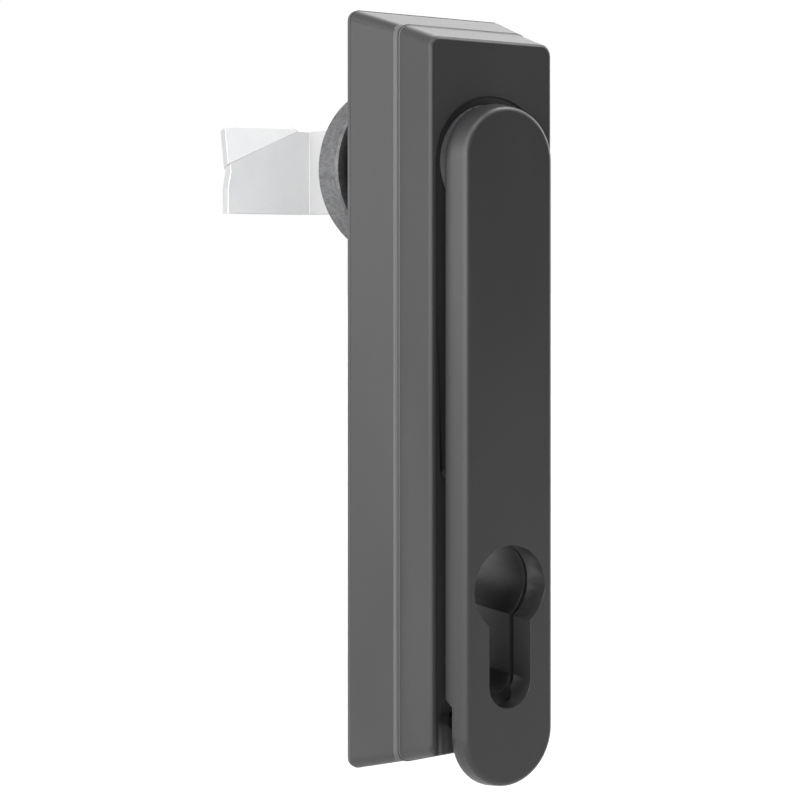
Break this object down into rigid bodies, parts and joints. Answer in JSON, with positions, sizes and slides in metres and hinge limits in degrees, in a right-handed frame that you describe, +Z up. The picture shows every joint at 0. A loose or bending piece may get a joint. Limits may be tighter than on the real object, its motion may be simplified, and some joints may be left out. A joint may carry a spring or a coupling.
{
  "type": "swing handle latch",
  "caption": "Quarter turn cabinet latch: a handle swings out of its long housing and turns a spindle with a cranked cam behind the door; opening for a profile half cylinder.",
  "frame": {"origin": "on the spindle axis, in the plane of the door's outer face where the housing's seal rests", "axes": "+X right seen from outside, +Y into the cabinet along the spindle axis, +Z up; the housing's front faces -Y"},
  "size_m": [0.055, 0.0652, 0.163],
  "materials": {
    "housing_plastic": "fine moulded grain, glass filled polyamide",
    "handle_plastic": "satin, fine grain",
    "bright_zinc": "bright zinc plated sheet steel",
    "grey_zinc": "rough cast, grey passivated",
    "turned_steel": "turned and zinc plated",
    "spring_steel": "hard rolled",
    "brass": "machined",
    "black_rubber": "dull",
    "slide_plastic": "smooth, low friction"
  },
  "bodies": {
    "base": {"base_housing": "housing_plastic", "door_seal": "black_rubber", "bearing_sleeve": "grey_zinc", "ring_nut": "grey_zinc", "thrust_washer": "slide_plastic", "handle_buffers": "black_rubber", "slide_detent_spring": "spring_steel", "slide_cover": "bright_zinc", "cover_screws": "turned_steel", "fixing_inserts": "brass"},
    "spindle": {"spindle": "turned_steel", "spindle_seal": "black_rubber", "turn_stop_pin": "turned_steel", "cam_slip_washer": "slide_plastic", "cam": "bright_zinc", "cam_lock_washer": "spring_steel", "cam_screw": "turned_steel"},
    "handle": {"handle": "handle_plastic", "hinge_pin": "turned_steel", "hinge_washers": "slide_plastic"},
    "slide": {"locking_slide": "bright_zinc", "slide_driver": "bright_zinc", "driver_rivets": "turned_steel"}
  },
  "joints": [
    {"name": "handle_turn", "type": "hinge", "parent": "base", "child": "spindle", "pos_m": [0, 0, 0], "axis": [0, -1, 0], "range_deg": [0, 90]},
    {"name": "handle_swing", "type": "hinge", "parent": "spindle", "child": "handle", "pos_m": [0, -0.02845, 0.007], "axis": [-1, 0, 0], "range_deg": [0, 30]},
    {"name": "slide_travel", "type": "slide", "parent": "base", "child": "slide", "axis": [0, 0, 1], "range_m": [0, 0.004]}
  ]
}
